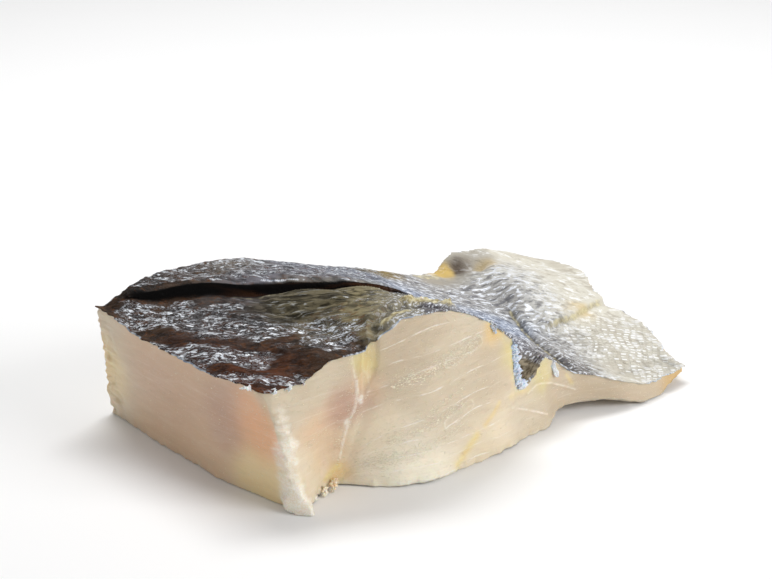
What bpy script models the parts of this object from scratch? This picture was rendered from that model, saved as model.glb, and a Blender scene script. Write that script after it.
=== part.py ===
"""Salted dried cod: one portion cut straight across the side of a split fish, lying on its flesh
with the skin up. Run it with blender --background --python part.py, or from the text editor.

The portion is one solid. It starts as a cube cut into a grid, and every grid point is then moved
to its place by the functions below. u runs along X from the thick back of the fish to the thin
belly flap, v runs along Y from the front cut to the rear cut, and w runs up from the flesh side
to the skin. Sizes in the functions are millimetres.
"""

import math

import bmesh
import bpy
import numpy as np

MM = 0.001

# Driving sizes
LOIN_CORNER = 32.4  # height of the near corner of the loin
LOIN_CREST = 44.4  # height of the loin at the front cut, its highest place
REAR_CREST = 38.2  # height of the loin at the rear cut
FRONT_CUT_LENGTH = 131.0  # the front cut, along X
REAR_CUT_Y = 76.0  # the rear cut, from the near corner along Y
REAR_FOOT_OUT = 3.6  # how far the flesh spreads at the foot of the rear cut
REAR_FOOT_END = 96.0
FLAP_REAR_OUT = 2.2  # how far the flap reaches out at the rear cut
FLAP_REAR = (96.0, 130.0)

# Heights of the skin over the base, after the two crests
LOIN_SHOULDER = 37.4  # a small level place on the way up to the crest
FLAP_ROOT = 14.4
FLAP_TIP = 4.0
REAR_CORNER = 35.2
REAR_ROOT = 13.0
LOBE_TOP = 17.2  # the flap's rear corner curls up in a lobe
LOBE_TIP = 9.8

# How far the underside is lifted where the flap curls off the table
FRONT_ARCH = 2.8
FRONT_TIP_LIFT = 0.9
REAR_ARCH = 9.4
REAR_TIP_LIFT = 5.4

# Plan outline: how far in the seam's notch reaches, and how far out the bulges reach
SEAM_NOTCH = 7.6
LOIN_BULGE = -7.2
LOIN_RIM_BULGE = -3.8
FLAP_BULGE = -9.0
FLAP_RIM_BULGE = -7.6
FRONT_CORNER_Y = -6.0
LOIN_CORNER_IN = (-6.0, 6.0)  # the near corner at the rim, over the corner at the foot
LOIN_FOOT_BULGE = -3.8
LOIN_REAR_X = (-2.8, -9.0)  # the loin's rear corner, at the foot and at the rim
FLAP_NEAR_LOBE = 143.0
FLAP_DIP = 139.4
FLAP_FAR_LOBE = 151.4
FLAP_REAR_X = 142.0

# The slit that the dorsal fin left: a bowed line from the rear corner to the front crest
SLIT_START = (-2.0, 73.0)
SLIT_END = (61.0, 21.5)
SLIT_BOW = 6.8
SLIT_BOW_SKEW = 1.4
SLIT_DEPTH = 2.2
SLIT_WIDTH = 3.0
SLIT_WALL = 3.4
SLIT_WALL_RUN = 4.5
SLIT_FADE = 0.16
RIDGE_REACH = 14.0

# The V where the skin dives between the loin and the flap, at the front cut
NOTCH_X = 72.8
NOTCH_DEPTH = 12.4
NOTCH_STEEP_SIDE = 5.0
NOTCH_EASY_SIDE = 9.0
NOTCH_REACH = 9.0
NOTCH_SLANT = 0.55

# The fold along the top of the flap, the step across it, and the hollow by its curled rear lobe
FOLD_X = 90.5
FOLD_SLANT = 0.41
FOLD_DEPTH = 2.0
FOLD_WIDTH = 2.6
STEP_Y = 25.2
STEP_HEIGHT = 1.6
STEP_RUN = 1.6
STEP_START = (106.0, 115.0)
STEP_FADE = (40.0, 66.0)
HOLLOW = (124.0, 66.0)
HOLLOW_RADII = (6.5, 5.0)
HOLLOW_DEPTH = 3.2

# The median seam on the front cut, from the notch at the foot to the rim
SEAM_X = (18.6, 23.6)
SEAM_DEPTH = 1.3
SEAM_WIDTH = 1.8
SEAM_FADE = 6  # how quickly the seam's valley dies away behind the front cut

# Cells of the grid along X, Y and Z, and how near the slit they are halved
CELLS = (54, 32, 6)
FINE_REACH = 7.5
ON_SKIN = 0.999  # w above this is on the skin

FLESH_COLOUR = (0.66, 0.55, 0.40, 1.0)
SKIN_COLOUR = (0.17, 0.155, 0.14, 1.0)


def smooth_step(x, start, end):
    t = np.clip((x - start) / (end - start), 0, 1)
    return t * t * (3 - 2 * t)


def bell(x, width):
    return np.exp(-((x / width) ** 2))


def stages(x, value, *changes):
    """A smooth line that starts at a value and changes to each next one between two places."""
    line = value
    for goal, start, end in changes:
        line = line + (goal - value) * smooth_step(x, start, end)
        value = goal
    return line


def front_height(x):
    """The skin over the front cut: up to the crest, down the loin's back and out to the tip."""
    loin = (LOIN_SHOULDER, 4, 15), (LOIN_CREST, 19, 33)
    return stages(x, LOIN_CORNER, *loin, (FLAP_ROOT, 40, 97), (FLAP_TIP, 84, 118))


def rear_height(x):
    """The skin over the rear cut, which ends in the curled lobe."""
    loin = (REAR_CREST, -9, 21), (REAR_ROOT, 22, 118)
    return stages(x, REAR_CORNER, *loin, (LOBE_TOP, 109, 119), (LOBE_TIP, 121, 150))


def front_lift(x):
    return stages(x, 0, (FRONT_ARCH, 80, 96), (0, 100, 114), (FRONT_TIP_LIFT, 120, 131))


def rear_lift(x):
    return stages(x, 0, (REAR_ARCH, 84, 122), (REAR_TIP_LIFT, 130, 150))


def front_foot(x):
    """Y of the front cut at its foot: the seam's notch, the loin's bulge and the flap's."""
    loin = (SEAM_NOTCH, 0, 16), (LOIN_BULGE, 12, 40), (0, 54, 86)
    return stages(x, 0, *loin, (FLAP_BULGE, 88, 113), (FRONT_CORNER_Y, 116, 131))


def front_rim(x):
    loin = (LOIN_RIM_BULGE, -6, 52), (-1, 64, 84)
    flap = (FLAP_RIM_BULGE, 90, 113), (FRONT_CORNER_Y, 115, 131)
    return stages(x, LOIN_CORNER_IN[1], *loin, *flap)


def loin_foot(v):
    return stages(v, 0, (LOIN_FOOT_BULGE, 0, 0.4), (LOIN_REAR_X[0], 0.7, 1))


def loin_rim(v):
    return LOIN_CORNER_IN[0] + (LOIN_REAR_X[1] - LOIN_CORNER_IN[0]) * v


def flap_edge(v):
    """X of the flap's edge: two lobes with a dip between them."""
    near = (FLAP_NEAR_LOBE, 0, 0.3), (FLAP_DIP, 0.4, 0.48)
    return stages(v, FRONT_CUT_LENGTH, *near, (FLAP_FAR_LOBE, 0.48, 0.75), (FLAP_REAR_X, 0.84, 1))


def seam_place(w):
    return stages(w, SEAM_X[0], (SEAM_X[1], 0, 0.8))


def slit_place(x, y):
    """How far along the slit a point is, from 0 to 1, and how many millimetres behind it."""
    length = math.dist(SLIT_START, SLIT_END)
    dx, dy = (SLIT_END[0] - SLIT_START[0]) / length, (SLIT_END[1] - SLIT_START[1]) / length
    along = ((x - SLIT_START[0]) * dx + (y - SLIT_START[1]) * dy) / length
    bow = SLIT_BOW * np.sin(math.pi * np.clip(along, 0, 1) ** SLIT_BOW_SKEW)
    return along, (y - SLIT_START[1]) * dx - (x - SLIT_START[0]) * dy + bow


def slit(x, y):
    """The dark slit: a shallow trough, with a steep wall and a ridge behind it."""
    along, behind = slit_place(x, y)
    ends = smooth_step(along, -0.04, SLIT_FADE) * (1 - smooth_step(along, 1 - SLIT_FADE, 1.06))
    trough = -SLIT_DEPTH * bell(behind + SLIT_WIDTH / 2, SLIT_WIDTH)
    ridge = SLIT_WALL * smooth_step(behind, 0, SLIT_WALL_RUN) * bell(behind, RIDGE_REACH)
    return ends * (trough + ridge)


def notch(x, y):
    """The V in the front rim, steep on the loin's side, that runs out under the skin."""
    across = x - NOTCH_X - NOTCH_SLANT * y
    steep = 1 - smooth_step(-across, 0, NOTCH_STEEP_SIDE)
    easy = np.clip(1 - across / NOTCH_EASY_SIDE, 0, 1)
    reach = bell(np.clip(y + 1, 0, None), NOTCH_REACH)
    return -NOTCH_DEPTH * reach * np.where(across < 0, steep, easy)


def flap_relief(x, y):
    """The fold at the flap's root, the step across it and the hollow under the curled lobe."""
    fold = -FOLD_DEPTH * bell(x - FOLD_X - FOLD_SLANT * y, FOLD_WIDTH)
    step = STEP_HEIGHT * smooth_step(y, STEP_Y, STEP_Y + STEP_RUN)
    step = step * smooth_step(x, *STEP_START) * (1 - smooth_step(y, *STEP_FADE))
    away = np.hypot((x - HOLLOW[0]) / HOLLOW_RADII[0], (y - HOLLOW[1]) / HOLLOW_RADII[1])
    return fold + step - HOLLOW_DEPTH * bell(away, 1.0)


def towards_rear(y):
    """0 at the front cut and 1 at the rear cut."""
    return np.clip(y / REAR_CUT_Y, 0, 1)


def skin_height(x, y):
    rear = towards_rear(y)
    body = front_height(x) * (1 - rear) + rear_height(x) * rear
    return body + slit(x, y) + notch(x, y) + flap_relief(x, y)


def underside_height(x, y):
    rear = towards_rear(y)
    return front_lift(x) * (1 - rear) + rear_lift(x) * rear


def rear_cut(x, w):
    """Y of the rear cut: its foot spreads under the loin, and the flap reaches further out."""
    spread = REAR_FOOT_OUT * (1 - w) * (1 - smooth_step(x, 0, REAR_FOOT_END))
    return REAR_CUT_Y + spread + FLAP_REAR_OUT * smooth_step(x, *FLAP_REAR)


def block_points(u, v, w):
    """Where the grid point (u, v, w), each from 0 to 1, lies in the portion, in millimetres."""
    left = loin_foot(v) * (1 - w) + loin_rim(v) * w
    x = left + (flap_edge(v) - left) * u
    front = front_foot(x) * (1 - w) + front_rim(x) * w
    seam = SEAM_DEPTH * bell(x - seam_place(w), SEAM_WIDTH)
    y = front + (rear_cut(x, w) - front) * v + seam * (1 - v) ** SEAM_FADE
    low = underside_height(x, y)
    return np.stack([x, y, low + (skin_height(x, y) - low) * w], axis=1)


def grid_cube(cells):
    """A cube from 0 to 1 whose faces are cut into cells."""
    mesh = bmesh.new()
    bmesh.ops.create_cube(mesh, size=1)
    bmesh.ops.translate(mesh, verts=mesh.verts, vec=(0.5, 0.5, 0.5))
    for axis, count in enumerate(cells):
        along = [e for e in mesh.edges if abs(e.verts[0].co[axis] - e.verts[1].co[axis]) > 0.5]
        bmesh.ops.subdivide_edges(mesh, edges=along, cuts=count - 1, use_grid_fill=True)
    return mesh


def refine_slit(mesh):
    """Halve the skin's cells along the slit, where the skin bends most."""
    unit = np.array([vert.co for vert in mesh.verts])
    x, y, _ = block_points(*unit.T).T
    along, behind = slit_place(x, y)
    close = (unit[:, 2] > ON_SKIN) & (np.abs(behind) < FINE_REACH) & (along > 0) & (along < 1)
    mesh.verts.index_update()
    edges = [e for e in mesh.edges if close[e.verts[0].index] and close[e.verts[1].index]]
    bmesh.ops.subdivide_edges(mesh, edges=edges, cuts=1, use_grid_fill=True)


def material(name, colour, roughness):
    made = bpy.data.materials.new(name)
    made.use_nodes = True
    surface = made.node_tree.nodes["Principled BSDF"]
    surface.inputs["Base Color"].default_value = colour
    surface.inputs["Roughness"].default_value = roughness
    made.diffuse_color = colour
    return made


def cod_portion():
    """The portion, centred over the origin and standing on Z 0."""
    grid = grid_cube(CELLS)
    refine_slit(grid)
    for face in grid.faces:
        face.material_index = int(face.calc_center_median().z > ON_SKIN)
    unit = np.array([vert.co for vert in grid.verts])
    points = block_points(*unit.T) * MM
    low, high = points.min(axis=0), points.max(axis=0)
    points -= ((low[0] + high[0]) / 2, (low[1] + high[1]) / 2, low[2])
    for vert, point in zip(grid.verts, points):
        vert.co = point
    mesh = bpy.data.meshes.new("salt_cod")
    grid.to_mesh(mesh)
    grid.free()
    mesh.materials.append(material("cod_flesh", FLESH_COLOUR, 0.45))
    mesh.materials.append(material("cod_skin", SKIN_COLOUR, 0.35))
    mesh.shade_smooth()
    mesh.set_sharp_from_angle(angle=math.radians(40))
    return bpy.data.objects.new("salt_cod", mesh)


for leftover in list(bpy.data.objects):
    bpy.data.objects.remove(leftover)
portion = bpy.data.collections.new("Salted cod portion")
bpy.context.scene.collection.children.link(portion)
portion.objects.link(cod_portion())
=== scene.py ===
# %% [markdown]
# # Salted dried cod
#
# A thick portion cut across one side of a split, salted cod. It lies on its flesh with the skin up.
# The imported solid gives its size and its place. This lesson dresses it: a flesh block with flakes and
# fibres on its cuts, a wrinkled skin that hangs over their rims, and the torn bits along the edge.

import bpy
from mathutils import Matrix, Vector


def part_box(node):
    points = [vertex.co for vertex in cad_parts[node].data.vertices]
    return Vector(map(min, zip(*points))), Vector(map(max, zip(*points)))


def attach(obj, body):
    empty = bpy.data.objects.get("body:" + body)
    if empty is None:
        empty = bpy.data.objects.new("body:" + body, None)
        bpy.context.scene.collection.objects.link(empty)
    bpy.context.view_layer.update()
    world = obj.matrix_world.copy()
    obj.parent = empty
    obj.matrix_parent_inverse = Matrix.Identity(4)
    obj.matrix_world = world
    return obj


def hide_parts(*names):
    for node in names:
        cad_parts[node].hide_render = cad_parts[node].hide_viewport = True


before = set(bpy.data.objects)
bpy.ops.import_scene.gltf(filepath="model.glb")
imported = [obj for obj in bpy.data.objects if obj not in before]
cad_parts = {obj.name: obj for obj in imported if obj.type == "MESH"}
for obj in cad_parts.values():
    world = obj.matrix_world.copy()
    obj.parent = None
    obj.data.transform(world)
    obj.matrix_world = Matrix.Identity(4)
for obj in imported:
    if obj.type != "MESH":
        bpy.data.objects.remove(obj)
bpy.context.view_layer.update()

# %% Tools for the lesson
import math

import bmesh
import bpy
import numpy as np
from mathutils import Vector

# %% [markdown]
# ## Where things are
#
# Everything below is thought out in millimetres from the near foot corner of the loin, the way a
# cook would describe the portion: X runs from the thick loin to the thin belly flap, Y from the front
# cut to the rear cut, Z up to the skin. The solid's own box says where that corner is, so nothing has
# to be fitted afterwards.

# %% The near foot corner
MM = 0.001
RIM_LEANS_OUT = 9.0  # the loin's rim reaches this far past the corner along -X
FOOT_BULGES_OUT = 9.0  # and the front cut's foot reaches this far along -Y
low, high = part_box("salt_cod")
CORNER = np.array(low) + np.array((RIM_LEANS_OUT, FOOT_BULGES_OUT, 0)) * MM


def place(points):
    """Millimetres from the foot corner to metres in the frame."""
    return np.asarray(points, float) * MM + CORNER


print("the foot corner is at", CORNER.round(4))

# %% [markdown]
# ## Camera and light
#
# A long lens from a little above keeps the block's edges calm. The light is soft: a big box
# overhead and a little behind puts small glints on the wet wrinkles of the skin, a box at the right
# front lights the long cut, and the left cut stays in gentle shade.

# %% Camera
AIM = (29.6, 2.4, 51.3)
AZIMUTH = math.radians(-40)
ELEVATION = math.radians(22)
CAMERA_DISTANCE = 527


def away(azimuth, elevation):
    """The direction from the portion to something at that azimuth and elevation."""
    flat = math.cos(elevation)
    return Vector((math.sin(azimuth) * flat, -math.cos(azimuth) * flat, math.sin(elevation)))


def look_from(item, azimuth, elevation, distance, target):
    direction = away(azimuth, elevation)
    item.location = Vector(target) + direction * distance * MM
    item.rotation_euler = (-direction).to_track_quat("-Z", "Y").to_euler()
    bpy.context.scene.collection.objects.link(item)


camera = bpy.data.objects.new("camera", bpy.data.cameras.new("camera"))
camera.data.lens = 100
camera.data.clip_start = 0.01
look_from(camera, AZIMUTH, ELEVATION, CAMERA_DISTANCE, place(AIM))
bpy.context.scene.camera = camera
bpy.context.scene.view_settings.view_transform = "Standard"

# %% Soft studio light
CENTRE = place((70, 35, 15))


def softbox(name, azimuth, elevation, distance, size, watts, colour=(1, 1, 1)):
    lamp = bpy.data.lights.new(name, "AREA")
    lamp.shape = "RECTANGLE"
    lamp.size, lamp.size_y = size
    lamp.energy = watts
    lamp.color = colour
    look_from(bpy.data.objects.new(name, lamp), math.radians(azimuth), math.radians(elevation), distance, CENTRE)


softbox("overhead box", 150, 66, 700, (0.5, 0.2), 3.4)
softbox("front right box", 25, 26, 900, (0.5, 0.5), 4.8)
softbox("left box", -100, 22, 1100, (0.5, 0.4), 0.5)
world = bpy.data.worlds.new("studio")
world.use_nodes = True
world.node_tree.nodes["Background"].inputs["Color"].default_value = (1, 1, 1, 1)
world.node_tree.nodes["Background"].inputs["Strength"].default_value = 0.34
bpy.context.scene.world = world

# %% [markdown]
# ## The form
#
# The body of the portion is a block whose every point follows a few smooth lines: the height of the
# skin along the front and the rear cut, the lift of the underside, and the outline in plan. These are
# the same measures as the solid's, so the looks fit it. Each line starts at one value and changes to
# the next over a stretch, so a whole outline is a few named rises and falls.

# %% A smooth line made of stages
def ease(x, start, end):
    t = np.clip((x - start) / (end - start), 0, 1)
    return t * t * (3 - 2 * t)


def bell(x, width):
    return np.exp(-((x / width) ** 2))


def stages(x, value, *changes):
    """Starts at value; each change is (the next value, where it begins, where it ends)."""
    line = value
    for goal, start, end in changes:
        line = line + (goal - value) * ease(x, start, end)
        value = goal
    return line


# %% The outline and the heights, in millimetres
def front_height(x):
    loin = (37.4, 4, 15), (44.4, 19, 33)
    return stages(x, 32.4, *loin, (14.4, 40, 97), (4.8, 84, 118))


def rear_height(x):
    loin = (37, -4, 12), (12, 22, 118)
    body = stages(x, 34.4, *loin, (17, 111, 120), (9.8, 121, 150))
    return body - 1.4 * bell(x + 5.5, 2.5) + 1.6 * bell(x - 83, 14)


def front_lift(x):
    return stages(x, 0, (2.8, 80, 93), (0.2, 100, 114), (2.8, 118, 132))


def rear_lift(x):
    return stages(x, 0, (9.4, 84, 122), (5.4, 130, 150))


def front_foot(x):
    loin = (7.6, 0, 16), (-7.8, 12, 40), (-4, 56, 76), (-0.4, 79, 88)
    return stages(x, 0, *loin, (-9, 89, 113), (-6, 116, 131))


def front_rim(x):
    return stages(x, 6, (-3.8, -6, 52), (-1, 64, 84), (-7.6, 90, 113), (-6, 115, 131))


def loin_foot(v):
    return stages(v, 0, (-3.8, 0, 0.4), (-2.8, 0.7, 1))


def loin_rim(v):
    return -6 - 1.8 * v


def flap_edge(v):
    """Two lobes with a dip between them."""
    near = (141.4, 0, 0.36), (139.4, 0.4, 0.48)
    return stages(v, 131, *near, (151.4, 0.48, 0.76), (142, 0.84, 1))


def seam_place(w):
    return stages(w, 18.6, (23.8, 0, 0.85))


REAR_CUT = 76.0
CORNER_RADIUS = 3.2  # of the edge between the two cuts


def rear_cut(x, w):
    spread = 3.6 * (1 - w) * (1 - ease(x, 0, 96))
    return REAR_CUT + spread + 2.2 * ease(x, 96, 130)


def plan(u, v, w):
    """Where the grid point (u, v) lies in plan: w is 0 at the foot and 1 at the rim."""
    left = loin_foot(v) * (1 - w) + loin_rim(v) * w
    x = left + (flap_edge(v) - left) * u
    front = front_foot(x) * (1 - w) + front_rim(x) * w
    seam = 0.5 * bell(x - seam_place(w), 1.6)
    y = front + (rear_cut(x, w) - front) * v + seam * (1 - v) ** 6
    a, b = (np.clip(1 - gap / CORNER_RADIUS, 0, 1) for gap in (x - left, y - front))
    x = x + CORNER_RADIUS * a * (1 - np.sqrt(1 - b * b / 2))
    return x, y + CORNER_RADIUS * b * (1 - np.sqrt(1 - a * a / 2))


print("the loin is", front_height(40.0), "mm high at the front cut and the flap", front_height(125.0).round(1))

# %% [markdown]
# ## Random but repeatable
#
# Skin and flesh are never smooth. `hills` is plain value noise: it gives every whole-numbered place a
# fixed random height and eases between them. Stretching its coordinates makes wrinkles and fibres, and
# `ridges` folds the hills over, which gives the sharp crests that wet skin has.

# %% Noise
def hills(x, y, seed=0):
    """Smooth random hills between -1 and 1, about one unit apart."""
    i, j = np.floor(x), np.floor(y)
    s, t = x - i, y - j
    s, t = s * s * (3 - 2 * s), t * t * (3 - 2 * t)

    def height(a, b):
        mixed = np.sin(a * 127.1 + b * 311.7 + seed * 74.7) * 43758.5453
        return (mixed - np.floor(mixed)) * 2 - 1

    near = height(i, j) * (1 - s) + height(i + 1, j) * s
    far = height(i, j + 1) * (1 - s) + height(i + 1, j + 1) * s
    return near * (1 - t) + far * t


def fractal(x, y, seed=0, octaves=3):
    return sum(hills(x * 2**n, y * 2**n, seed + 17 * n) / 2**n for n in range(octaves))


def ridges(x, y, seed=0):
    return 1 - 2 * np.abs(hills(x, y, seed)) - np.abs(hills(x * 2.1, y * 2.1, seed + 5))


# %% [markdown]
# ## The slit, the notch and the flap
#
# Where the dorsal fin was cut out, a dark slit runs from the rear corner to the crest of the front
# cut: the front skin ends in a shallow trough, and behind it a steep wall stands up to a lip and a
# ridge. At the front cut the skin dives into a V between the loin and the flap. The flap has a fold
# along its root, a step across it and a hollow by its curled rear lobe. Each one is a small sum of
# bells and eased steps, added to the body's height.

# %% Height of the skin
SLIT_START = np.array((-2.0, 73.0))
SLIT_END = np.array((61.0, 21.5))
SLIT_LENGTH = math.dist(SLIT_START, SLIT_END)
SLIT_RUN = (SLIT_END - SLIT_START) / SLIT_LENGTH


def slit_place(x, y):
    """How far along the slit a point is, from 0 to 1, and how many millimetres behind it."""
    dx, dy = x - SLIT_START[0], y - SLIT_START[1]
    along = (dx * SLIT_RUN[0] + dy * SLIT_RUN[1]) / SLIT_LENGTH
    bow = 6.8 * np.sin(math.pi * np.clip(along, 0, 1) ** 1.4)
    return along, dy * SLIT_RUN[0] - dx * SLIT_RUN[1] + bow


def slit_strength(along):
    return ease(along, -0.03, 0.12) * (1 - ease(along, 0.84, 1.04))


def slit_foot(a):
    return 0.6 * bell(a - 26, 12) - 1.3 * bell(a - 60, 14)


def slit_lip(a):
    return (3.9 * bell(a - 27, 22) + 1.5 * bell(a - 66, 13)) * ease(a, -1, 5)


def slit(x, y):
    along, behind = slit_place(x, y)
    foot = slit_foot(along * SLIT_LENGTH) * bell(np.minimum(behind, 0), 3)
    lip = slit_lip(along * SLIT_LENGTH) * bell(np.maximum(behind - 1.5, 0), 12)
    return foot + (lip - foot) * ease(behind, 0, 1.1)


def left_droop(x, y):
    """The skin's left edge hangs down over the cut."""
    return -1.9 * ease(y, 12, 28) * (1 - ease(y, 60, 70)) * bell(np.maximum(x + 7.5, 0), 3.2)


def notch(x, y):
    across = x - 72.8 - 0.55 * y
    steep = 1 - ease(-across, 0.8, 4.4)
    easy = np.clip(1 - across / 9, 0, 1)
    return -12.4 * bell(np.clip(y + 1, 0, None), 9) * np.where(across < 0, steep, easy)


def fold_gap(x, y):
    """Millimetres to the right of the fold at the flap's root."""
    return x - 90.5 - 0.41 * y


def step_line(x):
    return 30 + 4 * ease(x, 124, 142) - 1.6 * bell(x - 121, 4)


def flap_relief(x, y):
    fold = -1.2 * bell(fold_gap(x, y) - 2, 4)
    step = 2.2 * ease(y - step_line(x), -0.2, 1.1) * ease(x, 106, 115) * (1 - ease(y, 44, 68))
    hollow = -2.4 * bell(path_gap(x, y, (117, 73), (122, 69)), 2.6)
    return fold + step + hollow


def skin_height(x, y):
    rear = np.clip(y / REAR_CUT, 0, 1)
    body = front_height(x) * (1 - rear) + rear_height(x) * rear
    return body + slit(x, y) + left_droop(x, y) + notch(x, y) + flap_relief(x, y)


def underside_height(x, y):
    rear = np.clip(y / REAR_CUT, 0, 1)
    return front_lift(x) * (1 - rear) + rear_lift(x) * rear


# %% [markdown]
# ## A cube cut into a grid
#
# Both the flesh and the skin start as a cube from `create_cube`, cut by `subdivide_edges` along each
# axis. That keeps them closed with their faces outwards, whatever the grid points do afterwards. The
# sides that show get one more round of cuts, so the fine relief costs nothing where nobody looks.

# %% Grid cube
def grid_cube(cells):
    mesh = bmesh.new()
    bmesh.ops.create_cube(mesh, size=1)
    bmesh.ops.translate(mesh, verts=mesh.verts, vec=(0.5, 0.5, 0.5))
    for axis, count in enumerate(cells):
        along = [e for e in mesh.edges if abs(e.verts[0].co[axis] - e.verts[1].co[axis]) > 0.5]
        bmesh.ops.subdivide_edges(mesh, edges=along, cuts=count - 1, use_grid_fill=True)
    return mesh


def refine(mesh, shows):
    """Halve the cells of the faces whose middle passes the test."""
    edges = {e for f in mesh.faces if shows(f.calc_center_median()) for e in f.edges}
    bmesh.ops.subdivide_edges(mesh, edges=list(edges), cuts=1, use_grid_fill=True)


def grid_points(mesh):
    return np.array([vert.co for vert in mesh.verts]).T


def move_to(mesh, points):
    for vert, point in zip(mesh.verts, points):
        vert.co = point


def finish_piece(name, mesh, material, attributes=None):
    """Turn the bmesh into an object, with one value per point for each attribute."""
    data = bpy.data.meshes.new(name)
    bmesh.ops.triangulate(mesh, faces=[f for f in mesh.faces if len(f.verts) > 4])
    mesh.to_mesh(data)
    mesh.free()
    kinds = {1: ("FLOAT", "value"), 3: ("FLOAT_VECTOR", "vector"), 4: ("FLOAT_COLOR", "color")}
    for label, values in (attributes or {}).items():
        kind, field = kinds[values.shape[1] if values.ndim > 1 else 1]
        layer = data.attributes.new(label, kind, "POINT")
        layer.data.foreach_set(field, values.astype(np.float32).ravel())
    data.materials.append(material)
    data.shade_smooth()
    piece = bpy.data.objects.new(name, data)
    bpy.context.scene.collection.objects.link(piece)
    triangles = sum(len(p.vertices) - 2 for p in data.polygons)
    top = max(corner[2] for corner in piece.bound_box)
    print(name, "has", triangles, "triangles and reaches", round((top - low.z) / MM, 1), "mm up")
    return piece


# %% [markdown]
# ## Mixing paint with expressions
#
# A material is a tree of nodes, but it reads better as arithmetic. `Number` wraps a node's output, so
# that `mask * 2 + 1` adds the Math nodes by itself. `Paint` is one material: its `node` method adds
# any other node from its type, its settings and what its sockets get.

# %% Paint and Number
class Number:
    """One output of a node that carries a number."""

    def __init__(self, paint, socket):
        self.paint, self.socket = paint, socket

    def math(self, operation, *others, clamp=False):
        return self.paint.node("ShaderNodeMath", {"operation": operation, "use_clamp": clamp},
                               dict(enumerate((self, *others))))

    def __add__(self, other):
        return self.math("ADD", other)

    def __sub__(self, other):
        return self.math("SUBTRACT", other)

    def __rsub__(self, other):
        return self.paint.node("ShaderNodeMath", {"operation": "SUBTRACT"}, {0: other, 1: self})

    def __mul__(self, other):
        return self.math("MULTIPLY", other)

    __radd__, __rmul__ = __add__, __mul__

    def ramp(self, start, end):
        """0 before start, 1 after end, eased between them."""
        settings = {"interpolation_type": "SMOOTHSTEP"}
        return self.paint.node("ShaderNodeMapRange", settings, {"Value": self, "From Min": start, "From Max": end})

    def near(self, middle, width):
        """1 at the middle, fading to 0 at the width on both sides."""
        return 1 - (self - middle).math("ABSOLUTE").ramp(0, width)


class Paint:
    """One material, built around its Principled shader."""

    def __init__(self, name, constants):
        self.material = bpy.data.materials.new(name)
        self.material.use_nodes = True
        self.tree = self.material.node_tree
        self.surface = self.tree.nodes["Principled BSDF"]
        for socket, value in constants.items():
            self.surface.inputs[socket].default_value = value

    def put(self, socket, value):
        if isinstance(value, Number):
            self.tree.links.new(value.socket, socket)
        else:
            socket.default_value = value

    def node(self, kind, settings, sockets, out=0):
        made = self.tree.nodes.new(kind)
        for name, value in settings.items():
            setattr(made, name, value)
        for name, value in sockets.items():
            self.put(made.inputs[name], value)
        return Number(self, made.outputs[out])

    def value(self, label):
        return self.node("ShaderNodeAttribute", {"attribute_name": label}, {}, "Fac")

    def vector(self, label):
        return self.node("ShaderNodeAttribute", {"attribute_name": label}, {}, "Vector")

    def colour(self, label):
        return self.node("ShaderNodeAttribute", {"attribute_name": label}, {}, "Color")

    def stretch(self, vector, scale):
        return self.node("ShaderNodeVectorMath", {"operation": "MULTIPLY"}, {0: vector, 1: scale})

    def noise(self, vector, scale, detail=2.0, distortion=0.0):
        """Noise from 0 to 1 around 0.5."""
        sockets = {"Vector": vector, "Scale": scale, "Detail": detail, "Distortion": distortion}
        return self.node("ShaderNodeTexNoise", {}, sockets, "Fac")

    def mix(self, mask, under, over):
        """Colour over on colour under, where the mask is 1."""
        settings = {"data_type": "RGBA", "clamp_factor": True}
        return self.node("ShaderNodeMix", settings, {0: mask, 6: under, 7: over}, 2)

    def bump(self, height, millimetres, under=None):
        """Shading relief that stands that high where the height is 1."""
        sockets = {"Height": height, "Strength": 1.0, "Distance": millimetres * MM}
        if under is not None:
            sockets["Normal"] = under
        return self.node("ShaderNodeBump", {}, sockets, "Normal")

    def set(self, sockets):
        for name, value in sockets.items():
            self.put(self.surface.inputs[name], value)
        return self.material


def tint(red, green, blue):
    """A colour as a screen shows it, from 0 to 255, turned into linear light."""
    screen = [c / 255 for c in (red, green, blue)]
    return (*(c / 12.92 if c < 0.04045 else ((c + 0.055) / 1.055) ** 2.4 for c in screen), 1.0)


# %% [markdown]
# ## Washes of colour and bent lines
#
# Fish changes colour softly from place to place, so the underlying colour is laid on like watercolour:
# a few spots, each with a reach, blend into one another at every point of the mesh. Thin things such as
# the white sheaths between flakes follow bent lines, so a second helper measures how far a point is
# from such a line.

# %% Washes and bent lines
def light(red, green, blue):
    """A colour as a screen shows it, from 0 to 255, turned into linear light."""
    screen = np.array((red, green, blue)) / 255
    return np.where(screen < 0.04045, screen / 12.92, ((screen + 0.055) / 1.055) ** 2.4)


def washes(points, spots):
    """Blend the spots' colours around each point; a spot is a place, a reach and a colour."""
    total, colours = np.zeros(len(points)), np.zeros((len(points), 3))
    for spot, reach, colour in spots:
        gap = ((points - np.array(spot)) ** 2).sum(axis=1) / reach**2
        weight = np.exp(-gap) + 1e-9 / (1 + gap)
        total += weight
        colours += weight[:, None] * light(*colour)
    return np.column_stack([colours / total[:, None], np.ones(len(points))])


def path_gap(p, q, *stops):
    """Millimetres from each (p, q) to the line through the stops, with its corners cut twice."""
    stops = np.array(stops, dtype=float)
    for _ in range(2):
        starts, ends = stops[:-1], stops[1:]
        cuts = np.stack([starts * 0.75 + ends * 0.25, starts * 0.25 + ends * 0.75], axis=1).reshape(-1, 2)
        stops = np.concatenate([stops[:1], cuts, stops[-1:]])
    gap = np.full(np.shape(p), 1e9)
    for (a, b), (c, d) in zip(stops, stops[1:]):
        share = np.clip(((p - a) * (c - a) + (q - b) * (d - b)) / ((c - a) ** 2 + (d - b) ** 2 + 1e-9), 0, 1)
        gap = np.minimum(gap, np.hypot(p - a - share * (c - a), q - b - share * (d - b)))
    return gap


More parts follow.
